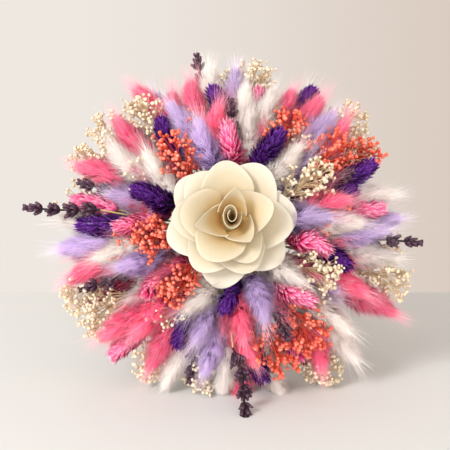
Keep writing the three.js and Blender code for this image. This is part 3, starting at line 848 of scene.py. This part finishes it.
def sheet(middle, thickness, u, v):
    """Both faces and the rim of a sheet given by its middle surface, a grid of points in millimetres."""
    skin = Skin()
    rows, columns = middle.shape[:2]
    normal = unit(np.cross(np.gradient(middle, axis=1), np.gradient(middle, axis=0)))
    top = placed(middle + normal * thickness / 2)
    bottom = placed(middle - normal * thickness / 2)
    uv = np.stack([u, v], -1)
    face = grid_faces(rows, columns, False)
    skin.add(top, face, uv)
    skin.add(bottom, face[:, ::-1], uv)
    edge = np.concatenate([
        np.arange(columns),
        np.arange(1, rows) * columns + columns - 1,
        (rows - 1) * columns + np.arange(columns - 2, -1, -1),
        np.arange(rows - 2, 0, -1) * columns,
    ])
    n = len(edge)
    i = np.arange(n)
    quads = np.stack([i, (i + 1) % n, n + (i + 1) % n, n + i], -1)
    edges = np.concatenate([top.reshape(-1, 3)[edge], bottom.reshape(-1, 3)[edge]])
    skin.add(edges, quads, np.tile(uv.reshape(-1, 2)[edge], (2, 1)))
    return skin


def petal(clock, layer, length, half_width, foot, curl, roll, point=ROUND):
    """A petal that leans out from its foot, curls as it goes, rolls over at its rim and waves a little."""
    u, v = np.meshgrid(np.linspace(-1, 1, PETAL_COLUMNS), np.linspace(0, 1, PETAL_ROWS))
    phase = rng.uniform(0, 2 * math.pi)
    s = length * v * (1 - point * np.abs(u) ** (2.6 - 2 * point) * v) * (1 + 0.02 * np.sin(2.4 * u + phase) * v)
    rim = np.clip((v - RIM) / (1 - RIM), 0, 1) ** 2
    lean = np.radians(foot + curl * s / length + roll * rim * (1 + 0.5 * u**2) + 5 * np.sin(2.2 * u + phase) * v)
    ds = np.diff(s, axis=0, prepend=0)
    r = SEAT_RADIUS - SEAT_TAPER * layer + np.cumsum(np.sin(lean) * ds, 0)
    z = ROSE_SEAT + SEAT_STEP * layer + np.cumsum(np.cos(lean) * ds, 0)
    width = half_width * (0.24 + 0.76 * np.sin(np.minimum(v * 1.25, 1) * math.pi / 2)) * (1 - 0.16 * v**3)
    at = math.radians(clock) + u * width / np.maximum(r, LEAST_RADIUS)
    z = z + 0.9 * u**2 * v - 0.5 * np.sin(3 * u + phase) * v
    middle = np.stack([r * np.cos(at), r * np.sin(at), z], -1)
    inwards = layer / LAST_LAYER
    shaded_tone = 0.35 * (1 - inwards) + v * (0.65 + 0.05 * inwards)  # the outer petals are paler than the inner ones, and every petal is darker towards its foot: painted shade of the rose's depth
    return sheet(middle, PETAL_THICKNESS, shaded_tone, (u + 1) / 2)


HEART_FOOT = 93.5
HEART_TURNS = 1.75
HEART_GRID = (14, 130)  # up the sheet and along it
HEART_WIDTH, HEART_HEIGHT = 0.84, 1.18  # its section is an ellipse
HEART_THICKNESS = 0.44


def heart():
    """One sheet of wood rolled up, looser and lower towards its outer end."""
    t, h = np.meshgrid(np.linspace(0, 1, HEART_GRID[1]), np.linspace(0, 1, HEART_GRID[0]))
    angle = t * HEART_TURNS * 2 * math.pi + 1.9
    r = (1.9 + 3.7 * t) * (0.55 + 0.45 * h) * (1 + 0.34 * t * h**2)
    height = 19.0 - 3.5 * t + 1.6 * np.sin(angle - 0.4) - 4.0 * np.clip((t - 0.86) / 0.14, 0, 1) ** 2
    x, y = r * np.cos(angle) * HEART_WIDTH, r * np.sin(angle) * HEART_HEIGHT
    # darker towards the foot of the roll: painted shade down inside it
    return sheet(np.stack([x, y, HEART_FOOT + h * height], -1), HEART_THICKNESS, 0.05 + 0.6 * h, t)


ROSE_STEM_ROUTE = [-168, -60, 30, 66, 77, 92]  # heights over the twine
ROSE_STEM_RADII = ([-168, 60, 76, 79, 92], [1.6, 1.6, 8.5, 9, 4.5])  # the stem, then the seat of the petals
ROSE_STEM_STEPS = 60


def rose_stem():
    skin = Skin()
    line = Curve(placed(np.array([[0, 0, z] for z in ROSE_STEM_ROUTE])), ROSE_STEM_STEPS)
    heights = np.linspace(ROSE_STEM_ROUTE[0], ROSE_STEM_ROUTE[-1], ROSE_STEM_STEPS)
    tube(skin, line, np.interp(heights, *ROSE_STEM_RADII) * MM, 14, 0.5)
    return skin


for name, shape in PETALS.items():
    node = "rose_petal_" + name
    stands_for(petal(*shape).build(node + "_look", MATERIALS["rose_wood"]), node, "rose_wood")
stands_for(heart().build("rose_heart_look", MATERIALS["rose_wood"]), "rose_heart", "rose_wood")
stands_for(rose_stem().build("rose_stem_look", MATERIALS["dried_stem"]), "rose_stem", "dried_stem")

# ---- Twine ----
TWINE = {"turns": 8, "inner": 10.9, "diameter": 2.2, "steps_per_turn": 64}
PLIES = {"count": 3, "radius": 0.58, "offset": 0.92, "half_lay": 4.2}  # the offset is a share of the radius
TUCK = 1.3  # how deep the ends of the twine are tucked in
TUCKED = 1 / 40  # share of the twine's length at each end that this takes


def twine():
    """Three plies laid round each other and wound round the stems, with both ends tucked in."""
    skin = Skin()
    steps = TWINE["turns"] * TWINE["steps_per_turn"]
    share = np.linspace(0, 1, steps)
    turn = share * TWINE["turns"] * 2 * math.pi
    tuck = TUCK * (np.clip(1 - share / TUCKED, 0, 1) + np.clip(1 - (1 - share) / TUCKED, 0, 1))
    r = TWINE["inner"] + TWINE["diameter"] / 2 - tuck
    half = TWINE["diameter"] * (TWINE["turns"] - 1) / 2
    z = half * (2 * share - 1)
    for ply in range(PLIES["count"]):
        a = turn * r / PLIES["half_lay"] * math.pi + ply * 2 * math.pi / PLIES["count"]
        offset = PLIES["radius"] * PLIES["offset"]
        out = r + offset * np.cos(a)
        points = np.stack([out * np.cos(turn), out * np.sin(turn), z + offset * np.sin(a)], -1)
        tube(skin, Curve(placed(points), steps), np.full(steps, PLIES["radius"] * MM), 7, 0.3 + 0.2 * ply)
    return skin


stands_for(twine().build("binding_twine_look", MATERIALS["twine"]), "binding_twine", "twine")

# ---- Camera, table, wall and lamps ----
VIEW_HEIGHT = math.radians(10.5)
VIEW_DISTANCE = 0.70
LENS = 93.4
SENSOR = 36
AIM = Vector((-0.0036, 0, -0.0024))  # from the middle of the rose to what the camera points at
HORIZON_DIP = math.radians(3.3)  # of the table's far edge below the middle of the view
TABLE_SIZE = (8, 4)
TABLE_COLOUR = (0.865, 0.872, 0.87)
# painted light: the wall is lit on the left and in painted shade on the right
WALL_LIT_LEFT = (0.935, 0.91, 0.882)
WALL_SHADED_RIGHT = (0.85, 0.79, 0.745)
WALL_TURN = (-0.15, 0.26)  # between these directions across, the wall goes from its lit left colour to its painted shade on the right
DAYLIGHT = (1.0, 0.99, 0.98)
LIT_POINT = (0, -0.05, 0.08)
LAMPS = {"key": ((-1.25, -1.6, 1.15), 0.8, 39), "front": ((0.2, -2.6, 0.5), 1.0, 28.5)}  # place, size and power


def add_camera():
    target = Vector(ROSE_MIDDLE) + AIM
    camera = bpy.data.objects.new("camera", bpy.data.cameras.new("camera"))
    camera.data.sensor_width = SENSOR
    camera.data.lens = LENS
    camera.location = target + VIEW_DISTANCE * Vector((0, -math.cos(VIEW_HEIGHT), math.sin(VIEW_HEIGHT)))
    camera.rotation_euler = (target - camera.location).to_track_quat("-Z", "Y").to_euler()
    bpy.context.scene.collection.objects.link(camera)
    return camera


def add_table(far_edge):
    material = bpy.data.materials.new("table")
    material.use_nodes = True
    shader = material.node_tree.nodes["Principled BSDF"]
    shader.inputs["Base Color"].default_value = srgb(*TABLE_COLOUR)
    shader.inputs["Roughness"].default_value = 0.6
    bpy.ops.mesh.primitive_plane_add(size=1)
    floor = bpy.context.object
    floor.name = "floor"
    floor.scale = (*TABLE_SIZE, 1)
    floor.location = (0, far_edge - TABLE_SIZE[1] / 2, 0)
    floor.data.materials.append(material)


def paint_wall():
    """The world's colour stands for the wall, lighter on the left and in painted shade towards the right, and lights
    the shadows.
    """
    world = bpy.context.scene.world or bpy.data.worlds.new("World")
    bpy.context.scene.world = world
    world.use_nodes = True
    tree = world.node_tree
    background = tree.nodes["Background"]
    background.inputs["Strength"].default_value = 1.0
    direction = tree.nodes.new("ShaderNodeTexCoord")
    split = new_node(tree, "SeparateXYZ", {"Vector": direction.outputs["Generated"]})
    reach = {"Value": split.outputs["X"], "From Min": WALL_TURN[0], "From Max": WALL_TURN[1]}
    falloff = new_node(tree, "MapRange", reach)
    falloff.interpolation_type = "SMOOTHSTEP"
    shades = colour_ramp(tree, [(0, WALL_LIT_LEFT), (1, WALL_SHADED_RIGHT)], falloff.outputs["Result"], "LINEAR")
    tree.links.new(shades, background.inputs["Color"])


def add_lamp(name, place, size, power):
    data = bpy.data.lights.new(name, "AREA")
    data.shape = "DISK"
    data.size = size
    data.energy = power
    data.color = DAYLIGHT
    lamp = bpy.data.objects.new(name, data)
    lamp.location = place
    lamp.rotation_euler = (Vector(LIT_POINT) - Vector(place)).to_track_quat("-Z", "Y").to_euler()
    bpy.context.scene.collection.objects.link(lamp)


camera = add_camera()
bpy.context.scene.camera = camera
bpy.context.scene.view_settings.view_transform = "Standard"
add_table(camera.location.y + camera.location.z / math.tan(VIEW_HEIGHT + HORIZON_DIP))
paint_wall()
for name, (place, size, power) in LAMPS.items():
    add_lamp(name, place, size, power)
